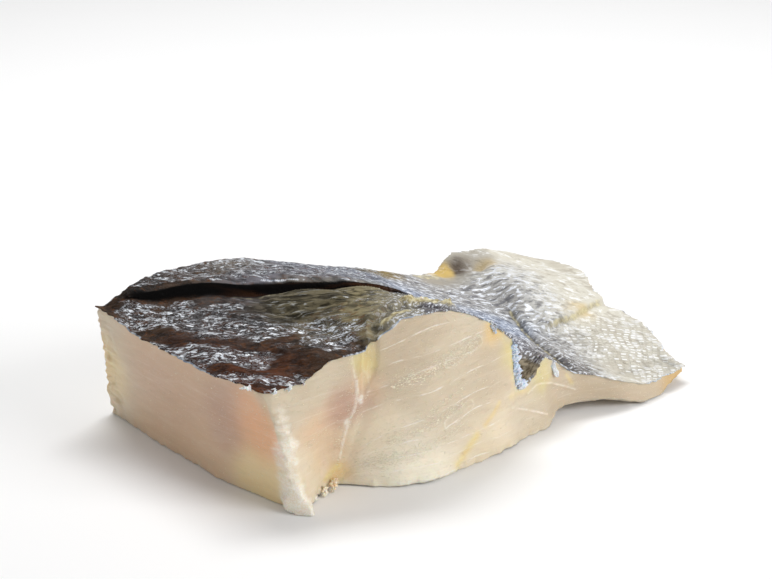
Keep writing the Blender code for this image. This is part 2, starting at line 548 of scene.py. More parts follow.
# %% [markdown]
# ## Flakes, sheaths and the seam
#
# Cod falls apart in flakes because thin white sheaths part its muscle. On the front cut they fan out
# from the foot of the seam, climb steeply at first and then flatten. Each sheath is a smooth height
# along X; counting how many lie below a point gives a number that passes a whole value at every sheath,
# and the same number steers the fine fibres between them.

# %% Sheaths
SHEATH_COUNT = 9
FAN_X, FAN_FOOT = 19, 5  # where the lower sheaths fan out, at the foot of the seam
FAN_RUN = 14


def sheath(k, x):
    """Height of sheath k: level left of the seam, climbing and then flattening right of it."""
    level = 4.8 * k - 1
    start = FAN_FOOT + 1.5 * (k - 1) if k < 4 else 5 * k - 1
    climb = 1 - np.exp(-np.maximum(x - FAN_X, 0) / FAN_RUN)
    wander = 1.3 * climb * hills(x / 13, 2.6 * k + 0 * x, 33)
    fan = start + (5.2 * k + 5 - start) * climb + wander
    across = ease(x, FAN_X - 3, FAN_X + 2)
    return level * (1 - across) + fan * across


def flakes(x, z):
    """How many sheaths lie below a point, counted smoothly, and how thick the flake is there."""
    heights = np.array([sheath(k, x) for k in range(SHEATH_COUNT)])
    k = np.clip((z > heights).sum(axis=0), 1, SHEATH_COUNT - 1)
    floor, ceiling = (np.take_along_axis(heights, np.array([k + shift]), axis=0)[0] for shift in (-1, 0))
    return k - 1 + (z - floor) / (ceiling - floor), ceiling - floor


# %% Bent lines on the front cut
SEAM = ((19, 37), (21, 24), (18, 17), (17, 4))
BRANCH = ((18, 19), (6, 17))
RING_PLACE, RING_RADII = (22, 28), (1.5, 3.5)
HAIRPINS = (((44, 30), (54, 33)), ((43, 14), (50, 17)))
HAIRPIN_RADIUS = 1.4
ARCS = (((66, 11), (81, 4)), ((74, 12), (79, 14), (93, 7)))
STREAKS = (((45, 2), (52, 8)), ((55, 10), (61, 14)))


def ring_gap(x, z):
    """Millimetres to the oval ring of tissue in the opening above the seam's star."""
    return RING_RADII[0] * (np.hypot((x - RING_PLACE[0]) / RING_RADII[0], (z - RING_PLACE[1]) / RING_RADII[1]) - 1)


def hairpin_gap(x, z):
    """A sheath that turns back on itself keeps one distance from a short straight stroke."""
    return np.minimum.reduce([abs(path_gap(x, z, *stroke) - HAIRPIN_RADIUS) for stroke in HAIRPINS])


def corner_band(x, y, z):
    """1 on the white, frayed band down the corner between the two cuts."""
    to_right = 1.5 + 2.5 * bell(z, 5) - 3 * ease(z, 20, 32)
    to_left = 5 + 3.5 * bell(z - 13, 9)
    right = 1 - ease(x + 1.1 * fractal(z * 0.45, z * 0.1, 2), to_right - 1.8, to_right + 1.8)
    left = 1 - ease(y + 1.2 * fractal(z * 0.25, z * 0.1, 5), to_left - 4, to_left + 1)
    return right * left


def fibre_gap(x, z):
    """1 in the yellow, stringy opening above the seam's star."""
    left, right = 21.5 - 2.5 * ease(z, 24, 36), 22 + 3.6 * ease(z, 22, 34)
    return ease(x, left - 0.4, left + 0.6) * (1 - ease(x, right - 0.6, right + 0.4)) * ease(z, 22.5, 24.5)


# %% [markdown]
# ## Flesh finish
#
# Salted flesh is waxy and slightly clear: light sinks in a little, the cut is moist, and tiny glints sit
# along the sheaths; they are painted highlights, near-white dots in the colour. The washes give the colour,
# stretched noise gives the fibres, and the masks on the mesh say where the white sheaths, the painted glints
# and the yellow fat lie.

# %% Flesh finish
def flesh_finish():
    paint = Paint("cod_flesh", {
        "Roughness": 0.38, "IOR": 1.42, "Subsurface Weight": 0.35, "Subsurface Scale": 0.002,
        "Subsurface Radius": (1.0, 0.55, 0.3), "Coat Weight": 0.25, "Coat Roughness": 0.18,
    })
    spot = paint.node("ShaderNodeTexCoord", {}, {}, "Object")
    fibre = paint.vector("fibre")
    count, thickness = paint.value("flake"), paint.value("thickness")
    threads = paint.noise(paint.stretch(fibre, (0.2, 1.7, 0.3)), 1, 4, 0.4)
    soft = paint.noise(paint.stretch(fibre, (0.09, 0.4, 0.1)), 1, 3, 0.6)
    lines = paint.value("sheath")
    quiet = lines * 0.7 + 0.3
    base = paint.colour("wash")
    base = paint.mix(soft.ramp(0.45, 0.75) * 0.12, base, tint(240, 228, 210))
    base = paint.mix(soft.ramp(0.5, 0.25) * 0.12, base, tint(178, 158, 134))
    base = paint.mix(threads.ramp(0.52, 0.72) * quiet * 0.12, base, tint(248, 238, 216))
    base = paint.mix(threads.ramp(0.48, 0.28) * quiet * 0.08, base, tint(170, 146, 116))

    wobble = paint.noise(paint.stretch(fibre, (0.5, 0.5, 0.5)), 1, 3) - 0.5
    gap = ((count + 0.5).math("FRACT") - 0.5).math("ABSOLUTE") * thickness
    broken = paint.noise(paint.stretch(fibre, (0.22, 1.2, 1)), 1, 3).ramp(0.42, 0.62)
    sheath = (1 - (gap + wobble * 0.4).ramp(0.0, 0.32)) * lines * broken
    shade = (count.math("FRACT") - 0.75).math("ABSOLUTE").ramp(0.25, 0.0) * lines
    base = paint.mix(shade * 0.04, base, tint(170, 148, 120))
    base = paint.mix(sheath * 0.62, base, tint(254, 248, 240))
    grit = paint.noise(spot, 2600, 2)
    white = paint.value("white")
    fray = paint.noise(paint.stretch(spot, (350, 350, 1300)), 1, 4) - 0.5
    white = (white + fray * white.near(0.5, 0.5) * 0.8).ramp(0.08, 0.95)
    base = paint.mix(white * 0.72, base, paint.mix(grit.ramp(0.4, 0.6), tint(248, 238, 220), tint(255, 253, 246)))
    fat = paint.value("fat") * (0.75 + wobble * 0.5)
    base = paint.mix(fat, base, paint.mix(soft.ramp(0.3, 0.7), tint(226, 192, 104), tint(238, 222, 146)))
    # painted highlights: near-white glints in the colour along the fibres, densest on the sparkle bands
    dots = paint.noise(paint.stretch(fibre, (1.5, 3.8, 1.5)), 1, 2, 0.5)
    painted_sparkle = (dots + paint.value("painted_sparkle") * 0.14).ramp(0.65, 0.7)
    base = paint.mix(painted_sparkle * 0.75, base, tint(254, 246, 222))
    pits = (dots - paint.value("painted_sparkle") * 0.1).ramp(0.30, 0.25) * 0.3
    base = paint.mix(pits, base, tint(196, 150, 96))
    relief = threads * quiet * 0.25 + painted_sparkle * 0.7 + sheath * 0.3 + grit * 0.1 + white * fray * 0.5
    return paint.set({
        "Base Color": base,
        "Roughness": 0.42 - painted_sparkle * 0.25 - sheath * 0.1,
        "Normal": paint.bump(relief, 0.22),
    })


# %% [markdown]
# The flesh has eleven hues, from pale cream at the foot to straw under the skin, rose beside the seam and
# orange at the corner. The paler washes low on the front cut and the darker tan ones near its top are partly
# painted light: the cut is made lighter towards the foot and darker towards the skin. Each wash is one hue
# laid broadly on a region of a cut: its place in whole millimetres, its reach, and the hue. The left cut is
# pinkish grey in the middle and orange towards the corner.

# %% Washes for the flesh
PALE, CREAM, OAT, BUTTER = (252, 244, 224), (228, 212, 184), (208, 193, 168), (238, 214, 164)
TAN, STRAW, APRICOT, HONEY = (198, 180, 154), (216, 201, 142), (226, 190, 122), (202, 168, 110)
PEACH, ROSE, ORANGE = (220, 188, 154), (194, 157, 136), (236, 180, 136)
FRONT_WASHES = (
    (2, 29, 7, OAT), (12, 33, 6, OAT), (17, 23, 5, ROSE), (8, 20, 4, PEACH), (6, 7, 8, CREAM), (13, 11, 5, PEACH),
    (16, 4, 2, APRICOT), (23, 35, 3, STRAW), (22, 28, 3, PEACH), (31, 36, 9, TAN), (50, 38, 5, OAT),
    (60, 34, 3, APRICOT), (66, 25, 3, STRAW), (44, 27, 9, OAT), (57, 23, 8, TAN), (26, 14, 5, CREAM),
    (43, 15, 8, OAT), (34, 4, 9, PALE), (56, 5, 7, CREAM), (72, 8, 6, OAT), (80, 14, 3, STRAW), (88, 8, 7, TAN),
    (100, 5, 6, TAN), (114, 3, 6, TAN), (128, 2, 6, HONEY),
)
LEFT_WASHES = (
    (76, 16, 6, BUTTER), (46, 29, 14, PEACH), (46, 19, 12, ROSE), (24, 19, 7, ROSE), (13, 19, 6, ORANGE),
    (45, 6, 14, PEACH), (13, 7, 6, BUTTER),
)
HIDDEN_WASHES = (((20, 76, 22), 20, OAT), ((80, 76, 12), 20, OAT), ((50, 38, 0), 30, CREAM), ((115, 40, 4), 16, PEACH))

# %% [markdown]
# ## Flesh
#
# The flesh is the grid cube laid over the form. Its two cuts that show get twice the cells. First the
# edges are softened by `smooth_vert`, because a knife leaves no perfect edge in wet fish; then each cut
# is pushed in and out along its own direction: flakes swell between their sheaths, the seam is a
# narrow valley, the corner is frayed, and the foot is ragged.

# %% Flesh block
FLESH_CELLS = (160, 84, 48)
RIM_SINK, INNER_SINK = 0.3, 1.7  # how far the flesh lies under the skin's top, at the rims and inside


def flesh_sink(x, y, u, v):
    along, behind = slit_place(x, y)
    inner = np.minimum.reduce([u * 50, (1 - u) * 50, v * 25, (1 - v) * 25])
    groove = 2.2 * slit_strength(along) * bell(behind - 1.2, 2.6)
    return RIM_SINK + (INNER_SINK - RIM_SINK + groove) * np.clip(inner, 0, 1)


def flesh_block():
    mesh = grid_cube(FLESH_CELLS)
    refine(mesh, lambda middle: middle.y < 1e-4 or middle.x < 1e-4)
    u, v, w = grid_points(mesh)
    x, y = plan(u, v, w)
    foot = underside_height(x, y)
    z = foot + (skin_height(x, y) - flesh_sink(x, y, u, v) - foot) * w
    sides = [u < 1e-4, u > 1 - 1e-4, v < 1e-4, v > 1 - 1e-4, w < 1e-4, w > 1 - 1e-4]
    left, right, front, rear, under, top = (side * 1.0 for side in sides)
    move_to(mesh, place(np.stack([x, y, z], axis=1)))
    near_edge = [np.minimum(s * 110, (1 - s) * 110) for s in (u, v * 0.7, w * 0.42)]
    sharp = sum(gap < 2.2 for gap in near_edge) > 1
    edge_verts = [vert for vert, is_sharp in zip(mesh.verts, sharp) if is_sharp]
    for _ in range(4):
        bmesh.ops.smooth_vert(mesh, verts=edge_verts, factor=0.5, use_axis_x=True, use_axis_y=True, use_axis_z=True)

    count, thickness = flakes(x, z)
    count_left, thickness_left = z / 4 + 0.3 * hills(y / 18, z / 12, 3) + 0.15, 4.0
    main = ease(x, 18, 26) * (1 - ease(x, 56, 66))
    bulge = (1 - (2 * (count - np.floor(count)) - 1) ** 2) * thickness / 9
    seam = path_gap(x, z, *SEAM)
    strings = fibre_gap(x, z)
    corner = corner_band(x, y, z)
    hairpin = hairpin_gap(x, z)
    arc = np.minimum(*(path_gap(x, z, *line) for line in ARCS))
    loop = ring_gap(x, z)
    rag = 0.5 * fractal(x / 2.1, y / 2.1, 12) * bell(w, 0.05) + 0.9 * bell(x - 12, 4) * fractal(x / 1.1, z / 1.3, 6) * bell(z, 2.4)
    grain_front = 0.05 * fractal(x / 8, count * thickness / 1.3, 4) + 0.25 * fractal(x / 14, z / 9, 11)
    push_front = (
        0.12 * bulge * main + grain_front - 0.3 * bell(seam, 0.8) + 0.3 * bell(seam, 0.35) * (1 - strings)
        - strings * (0.3 - 0.2 * fractal(x * 1.5, z / 4, 8)) + 0.2 * bell(loop, 0.5) + 0.2 * bell(hairpin, 0.5) + 0.2 * bell(arc, 0.6)
        + corner * (0.4 * fractal(x / 3, z / 1.6, 15) + 3.2 * bell(z, 4) * (1 - ease(x, 2, 6))) + rag
        + 3.2 * bell(x - 27, 7) * bell(z, 7)
    )
    grain_left = 0.25 * fractal(y / 14, z / 8, 21) + 0.03 * fractal(y / 5, z / 1.2, 14)
    ragged_rear = 0.5 * ease(y, 68, 76) * fractal(y / 3, z / 1.6, 19)
    push_left = grain_left + ragged_rear + corner * (0.35 * fractal(y / 3, z / 1.6, 16) + 2.2 * bell(z, 4)) + rag * 0.6
    push = np.zeros((len(x), 3))
    push[:, 1] = -push_front * front * np.clip(1 - left, 0.3, 1)
    push[:, 0] = -push_left * left
    push[:, 1] += rear * (0.4 * fractal(x / 8, z / 3, 25) + 0.4 * fractal(x / 2.6, z / 1.8, 26))
    push[:, 0] += right * 0.5 * fractal(y / 3, z / 2, 27)
    push[:, 2] += under * (0.25 + 0.25 * fractal(x / 6, y / 6, 28)) * np.clip(np.minimum(u, 1 - u) * 30, 0, 1)
    for vert, shift in zip(mesh.verts, push * MM):
        vert.co += Vector(shift)

    ground = np.stack([x + 0.8 * fractal(z / 5, y / 5, 51), y, z + 0.8 * fractal(x / 5, y / 5, 52)], axis=1)
    ground[:, 1] = np.where(front > 0, -3, ground[:, 1])
    ground[:, 0] = np.where(left * (1 - front) > 0, -5, ground[:, 0])
    spots = [((p, -3, q), reach, colour) for p, q, reach, colour in FRONT_WASHES]
    spots += [((-5, p, q), reach, colour) for p, q, reach, colour in LEFT_WASHES]
    wash = washes(ground, spots + list(HIDDEN_WASHES))
    on_left = left * (1 - front)
    along, across = x + 0.4 * z, np.where(on_left > 0, count_left * thickness_left, count * 6)
    along = np.where(on_left > 0, y, along)
    along, across = np.where(strings * front > 0.4, (z, x * 1.6), (along, across))
    bands = bell(path_gap(x, z, (30, 27), (53, 33)), 2.4)
    bands += bell(path_gap(x, z, (28, 12), (48, 18)), 1.3) + 0.35 * bell(seam, 3)
    bands += 0.9 * bell(path_gap(x, z, (22, 6), (47, 12)), 1.5)
    bands += 0.6 * bell(path_gap(x, z, (34, 17), (48, 22)), 0.9) + 0.5 * bell(path_gap(x, z, (5, 16), (12, 17)), 1.4)
    white = np.maximum.reduce([
        corner * (0.55 + 0.3 * bell(z - 19, 6) + 0.75 * bell(z, 7)), bell(seam, 0.26 + 0.012 * z) * 0.7 * (1 - strings) * ease(z, 5, 9) * front,
        bell(path_gap(x, z, *BRANCH), 0.35) * 0.5 * ease(x, 4, 16) * front, bell(np.hypot(x - 21.5, (z - 24) / 1.8), 0.8) * front,
        bell(np.hypot(x - 18.3, (z - 18) / 1.7), 0.8) * 0.9 * front, bell(hairpin, 0.28) * 0.5 * front, bell(arc, 0.4) * 0.5 * front,
        bell(loop, 0.36) * 0.35 * front, bell(np.hypot(x - 21.6, (z - 37.6) / 0.8), 1.6) * 0.6 * front,
    ])
    fat = np.maximum.reduce([
        bell(path_gap(x, z, *STREAKS[0]), 1.2) * 0.8, bell(path_gap(x, z, *STREAKS[1]), 0.7) * 0.65,
        strings * 0.4 * bell(z - 33, 5), 0.5 * bell(path_gap(x, z, (66, 14), (74, 13)), 0.9),
        0.28 * bell(path_gap(x, z, (61, 35), (67, 24), (67, 16)), 0.9),
        0.5 * bell(path_gap(x, z, (90, 12), (92, 9)), 0.6), 0.6 * bell(path_gap(x, z, (17, 6), (13, 3)), 0.9),
    ]) * front
    attributes = {
        "wash": wash, "flake": np.where(on_left > 0, count_left, count), "thickness": np.where(on_left > 0, 6, thickness),
        "sheath": front * (0.2 + 0.8 * main) * (1 - strings) + 0.25 * on_left * bell(z - 21, 6) + 0.6 * rear,
        "fibre": np.stack([along, across, y * 0.3], axis=1),
        "white": white, "fat": fat, "painted_sparkle": np.clip(bands, 0, 1.2) * front * (1 - strings),
    }
    return finish_piece("cod_flesh", mesh, flesh_finish(), attributes)


flesh = flesh_block()

# %% [markdown]
# ## Skin finish
#
# Cod skin is mottled brown to black along the back, grey on the slope and silvery cream on the belly.
# Wet skin shows a thin bluish film and short wavy glints on the wrinkles' crests. The washes give the
# ground colour and noise stretched along the wrinkles gives the film; the glints are painted into the
# colour as near-white strokes, painted highlights over a partly real whitish film. The draped folds get
# painted shade in their valleys and painted highlights on their crests, the colour is darkened where the
# relief dips as painted shade, and the belly's scales are small bricks, each painted as catching the
# light or not.

# %% Skin finish
def loin_coat(paint, base, grain, black):
    """Dark patches, then short painted highlights: near-white glints where the film has broken up."""
    loin, film_and_glints = paint.value("loin"), paint.value("film_and_glints")
    mottle = paint.noise(paint.stretch(grain, (0.24, 0.5, 1)), 1, 5, 0.8)
    base = paint.mix(mottle.ramp(0.56, 0.4) * loin * 0.78, base, black)
    patch = paint.noise(paint.stretch(grain, (0.1, 0.24, 1)), 1, 4, 0.6)
    amber = paint.noise(paint.stretch(grain, (0.5, 0.8, 1)), 1, 4, 1.0)
    plain = loin * (1 - paint.value("folds"))
    base = paint.mix(amber.ramp(0.53, 0.66) * plain * 0.45, base, tint(106, 64, 28))
    cluster = (patch + film_and_glints * 0.34).ramp(0.63, 0.78)
    # a bluish veil over the glint clusters: partly the real film, partly painted sheen
    base = paint.mix(cluster * loin * 0.08, base, tint(100, 104, 114))
    wisps = paint.noise(paint.stretch(grain, (0.32, 0.85, 1)), 1, 4, 1.6)
    threads = paint.noise(paint.stretch(grain, (0.6, 1.9, 1)), 1, 3, 2.2)
    broad = wisps.ramp(0.52, 0.55) * threads.ramp(0.43, 0.5) * cluster
    thin = threads.near(0.5, 0.022) * (cluster * 0.75 + 0.08)
    painted_glint = (broad + thin).math("MINIMUM", 1.0) * loin * film_and_glints.ramp(0.0, 0.15)
    base = paint.mix(painted_glint * 0.97, base, tint(240, 245, 252))
    return base, painted_glint, (mottle * 0.6 + wisps * 0.9 + painted_glint * 0.4) * (1 - paint.value("fuzz"))


def drape_coat(paint, base, grain, black):
    """Painted shade along the long valleys and painted silver highlights on the crests of the draped folds in front of
    the slit.
    """
    folds = paint.value("folds")
    drape = paint.noise(paint.stretch(grain, (0.045, 0.42, 1)), 1, 3, 0.5)
    broken = paint.noise(paint.stretch(grain, (0.3, 0.8, 1)), 1, 3)
    painted_valley_shade = drape.near(0.45, 0.045) + drape.near(0.58, 0.04) * broken.ramp(0.42, 0.55)
    base = paint.mix(painted_valley_shade * folds * 0.9, base, black)
    painted_crest_glint = (drape.near(0.5, 0.025) + drape.near(0.63, 0.02)).math("MINIMUM", 1.0) * broken.ramp(0.48, 0.6)
    base = paint.mix(painted_crest_glint * folds * 0.6, base, tint(206, 210, 210))
    return base, painted_crest_glint * folds, (drape * 3.0 - painted_valley_shade * 0.6) * folds


def slope_coat(paint, base, flow):
    """Streaks and painted glints of the slope, and the milder silver mottle of the belly with painted shine."""
    slope, belly = paint.value("slope"), paint.value("belly")
    streak = paint.noise(paint.stretch(flow, (0.34, 0.56, 1)), 1, 4, 0.5)
    fine = paint.noise(paint.stretch(flow, (0.6, 1.0, 1)), 1, 3, 0.6)
    base = paint.mix(slope * 0.16, base, tint(164, 180, 210))
    base = paint.mix(streak.ramp(0.49, 0.37) * slope * 0.62, base, tint(80, 82, 92))
    base = paint.mix(fine.ramp(0.44, 0.36) * slope * 0.4, base, tint(82, 78, 80))
    # painted highlights: near-white glints on the slope's streaks
    painted_glint = (streak.ramp(0.52, 0.57) * fine.ramp(0.46, 0.54) + fine.ramp(0.6, 0.64)).math("MINIMUM", 1.0) * slope
    base = paint.mix(painted_glint * 0.85, base, tint(240, 244, 252))
    silver = paint.noise(paint.stretch(flow, (0.42, 0.46, 1)), 1, 4, 0.9)
    broad = paint.noise(paint.stretch(flow, (0.09, 0.12, 1)), 1, 3, 0.6)
    base = paint.mix(broad.ramp(0.5, 0.34) * belly * 0.3, base, tint(176, 164, 144))
    base = paint.mix(silver.ramp(0.46, 0.34) * belly * 0.5, base, tint(164, 154, 140))
    # painted shine: near-white flecks on the belly's silver mottle
    shine = (silver.ramp(0.52, 0.6) * broad.ramp(0.38, 0.56)) * belly
    base = paint.mix(shine * 0.75, base, tint(253, 253, 253))
    return base, painted_glint + shine * 0.5, streak * slope * 0.8 + fine * slope * 0.6 + silver * belly * 0.8


def scale_coat(paint, base, bricks):
    """Small oblong scales, each one painted as catching the light or not: a near-white painted highlight."""
    scales = paint.value("scales")
    cell = paint.node("ShaderNodeVectorMath", {"operation": "FLOOR"}, {0: bricks})
    inside = paint.node("ShaderNodeVectorMath", {"operation": "FRACTION"}, {0: bricks})
    chance = paint.node("ShaderNodeTexWhiteNoise", {"noise_dimensions": "2D"}, {"Vector": cell}, "Value")
    across, along = (paint.node("ShaderNodeSeparateXYZ", {}, {0: inside}, side) for side in "XY")
    tile = across.near(0.5, 0.5).ramp(0.1, 0.45) * along.near(0.5, 0.5).ramp(0.2, 0.6)
    group = paint.noise(paint.stretch(bricks, (0.25, 0.12, 1)), 1, 2)
    painted_scale_glint = tile * (chance + group).ramp(1.0, 1.25) * scales
    base = paint.mix((1 - tile) * scales * 0.3, base, tint(172, 164, 152))
    return paint.mix(painted_scale_glint * 0.85, base, tint(255, 255, 253)), painted_scale_glint, tile * scales * 0.5


def skin_finish():
    paint = Paint("cod_skin", {"Specular IOR Level": 0.1, "IOR": 1.4, "Coat Roughness": 0.12})
    grain, flow = paint.vector("grain"), paint.vector("flow")
    base = paint.colour("wash")
    black = paint.mix(0.82, base, tint(12, 8, 7))
    base, painted_glint, relief = loin_coat(paint, base, grain, black)
    base, painted_crest_glints, drapes = drape_coat(paint, base, grain, black)
    base, painted_slope_glints, streaks = slope_coat(paint, base, flow)
    base, painted_scale_glint, tiles = scale_coat(paint, base, paint.vector("bricks"))
    # painted shade: the colour goes towards black where the skin's relief dips
    base = paint.mix(paint.value("relief").ramp(-0.1, -0.7) * 0.7, base, black)
    fuzz = paint.noise(paint.node("ShaderNodeTexCoord", {}, {}, "Object"), 700, 4)
    base = paint.mix(paint.value("fuzz"), base, paint.mix(fuzz.ramp(0.35, 0.65), tint(92, 82, 66), tint(158, 146, 124)))
    cream = paint.value("cream")
    tissue = paint.mix(fuzz.ramp(0.35, 0.65), tint(160, 144, 98), tint(222, 212, 172))
    base = paint.mix((cream + (fuzz - 0.5) * 1.4 * cream.near(0.5, 0.5)).ramp(0.15, 0.85) * 0.85, base, tissue)

    rust = paint.noise(paint.stretch(paint.vector("wall_run"), (0.05, 0.9, 1)), 1, 4, 0.4)
    rust = rust.ramp(0.46, 0.62) * paint.value("rust")
    base = paint.mix(paint.value("wall"), base, paint.mix(rust, tint(11, 9, 9), tint(74, 46, 28)))
    # the rim colour: the skin's own blue-white torn edge, plus a painted highlight line along the slit's lip
    rim = paint.value("rim")
    frost = paint.noise(paint.stretch(grain, (0.9, 0.9, 1)), 1, 3)
    rim = (rim + (frost - 0.5) * 1.4 * rim.near(0.5, 0.5)).ramp(0.4, 0.8)
    base = paint.mix(rim * 0.75, base, paint.mix(frost.ramp(0.4, 0.6), tint(146, 162, 184), tint(228, 234, 242)))
    shine = (painted_glint + painted_crest_glints * 0.6 + painted_slope_glints * 0.6 + painted_scale_glint * 0.5).math("MINIMUM", 1.0)
    return paint.set({
        "Base Color": base,
        "Roughness": 0.6 - shine * 0.35,
        "Coat Weight": 0.03 + shine * 0.5,
        "Normal": paint.bump(relief + drapes + streaks + tiles + fuzz * 0.3, 0.4),
    })


# %% [markdown]
# The skin has fifteen hues: browns on the loin, olive in the draped folds, slate to silver blue over the
# ridge and the slope, umber by the notch and pearl on the belly, with moss and gold where tissue shows
# through. They are laid on in the same way, as broad regions in plan (X, Y).

# %% Washes for the skin
SOOT, BROWN, EARTH, DUSK, RUST = (30, 24, 20), (60, 32, 15), (68, 50, 36), (70, 62, 58), (82, 42, 16)
OLIVE, KHAKI, UMBER = (114, 106, 84), (142, 132, 100), (122, 111, 92)
SLATE, STEEL, SILVER = (114, 112, 120), (138, 140, 150), (156, 164, 180)
SAND, PEARL, MOSS, GOLD = (166, 161, 152), (217, 213, 200), (142, 120, 56), (210, 180, 108)
SKIN_WASHES = (
    (-5, 60, 8, EARTH), (-5, 40, 8, BROWN), (6, 46, 8, DUSK), (3, 36, 6, BROWN), (12, 36, 6, DUSK), (4, 71, 4, SOOT),
    (12, 18, 7, BROWN),
    (1, 14, 7, RUST), (11, 6, 6, EARTH), (20, 20, 6, OLIVE), (26, 30, 8, OLIVE), (41, 16, 9, KHAKI), (32, 4, 4, KHAKI),
    (42, 0, 2, EARTH), (16, 72, 9, EARTH), (30, 66, 8, UMBER), (38, 56, 12, SLATE), (60, 52, 14, STEEL),
    (66, 30, 10, SILVER), (80, 46, 12, SILVER), (58, 10, 8, STEEL), (84, 22, 8, SLATE), (76, 4, 7, UMBER),
    (96, 10, 6, UMBER), (88, 75, 4, MOSS), (100, 58, 10, SAND), (98, 38, 8, SILVER), (107, 20, 7, SAND),
    (114, 50, 8, SAND), (119, 71, 3, EARTH), (112, 74, 2, GOLD), (125, 68, 2, GOLD), (124, 70, 4, SAND), (135, 58, 12, PEARL),
    (128, 40, 12, PEARL), (126, 30, 3, GOLD), (122, 22, 8, PEARL), (128, 6, 14, PEARL),
)

# %% [markdown]
# ## Skin
#
# The skin is a thin sheet over the form, also a grid cube, with its top cut twice as fine. Its relief
# is real: wrinkles follow the slit on the loin, folds like draped cloth lie in front of the slit, the
# slope is streaked towards the flap, and the torn outer layer ends in a rolled edge near the crest. At
# the slit the lip is pulled forward over the dark wall.

# %% Relief of the skin
SKIN_CELLS = (180, 100, 1)


def grain_place(x, y):
    """Millimetres along and across the straight line of the slit, with a slow wave."""
    dx, dy = x - SLIT_START[0], y - SLIT_START[1]
    a, b = dx * SLIT_RUN[0] + dy * SLIT_RUN[1], dy * SLIT_RUN[0] - dx * SLIT_RUN[1]
    return a, b + 0.3 * a + 1.1 * hills(a / 15, b / 11, 41)


def flow_place(x, y):
    """Millimetres along and across the slope's wrinkles, which bend round the crest like a curtain."""
    return 62 * np.arctan2(x - 58, y - 2), np.hypot(x - 58, y - 2) + 1.2 * hills(x / 12, y / 12, 42)


def torn_edge(x, y):
    """Millimetres behind the rolled edge of the torn outer layer, and where that edge exists."""
    line = stages(x, -4, (6, 19, 29))
    return y - line - 0.5 * hills(x / 1.6, 0 * x, 7), ease(x, 21.5, 23.5) * (1 - ease(x, 41, 45))


CREASE = ((94, 1), (100, 15), (112, 45))


def fold_area(x, y):
    """1 where the skin in front of the slit lies in draped folds."""
    s, behind = slit_place(x, y)
    a = s * SLIT_LENGTH
    return ease(a, 24, 42) * (1 - ease(a, 74, 82)) * ease(behind, -17, -12) * (1 - ease(behind, -1.2, -0.2))


def skin_relief(x, y):
    s, behind = slit_place(x, y)
    a, b = grain_place(x, y)
    p, q = flow_place(x, y)
    belly = ease(fold_gap(x, y), -2, 12)
    slope = ease(a, 62, 78) * (1 - belly)
    folds = fold_area(x, y)
    loin = (1 - slope) * (1 - belly) * (1 - 0.8 * folds)
    wrinkles = 0.36 * ridges(a / 7, b / 2.9, 1) + 0.2 * fractal(a / 3, b / 1.3, 2)
    cloth = 0.75 * ridges(a / 22, b / 3.4, 9) + 0.1 * fractal(a / 5, b / 1.2, 10)
    streaks = 0.14 * ridges(p / 4, q / 2, 5) + 0.12 * fractal(p / 2, q / 1.1, 4)
    flap = 0.34 * fractal(x / 11, y / 11, 8) + 0.12 * fractal(p / 3.4, q / 2.6, 18) + 0.06 * fractal(x / 1.2, y / 1.2, 9)
    behind_edge, torn = torn_edge(x, y)
    layer = torn * (0.75 * ease(behind_edge, -0.2, 0.7) + 0.5 * bell(behind_edge - 0.9, 0.8) - 0.45 * bell(behind_edge + 1, 2))
    lump = 1.5 * bell(np.hypot(x - 0.5, y - 73), 3.6) * (1 + 0.3 * fractal(x / 1.5, y / 1.5, 44))
    crease = -0.8 * bell(path_gap(x, y, *CREASE), 0.8) + 0.5 * bell(path_gap(x - 2, y + 1, *CREASE), 1.2)
    tag = 1.2 * bell(path_gap(x, y, (40, 7), (45, 4.4), (49, 1)), 1.5) * (1 + 0.4 * fractal(x / 1.4, y / 1.4, 43))
    pocket = -0.9 * bell(path_gap(x, y, (40, 2.8), (45.5, -1.6)), 1.1)
    proud = 0.8 * bell((x - 94) / 7, 1) * bell((y - 74) / 4, 1)
    return loin * wrinkles + folds * cloth + slope * streaks + belly * flap + layer + lump + crease + tag + pocket + proud


# %% The skin sheet
def skin_thickness(x):
    """Thin everywhere, thicker where the torn skin turns down into the notch."""
    return 0.3 + 0.8 * bell(x - 70, 6)


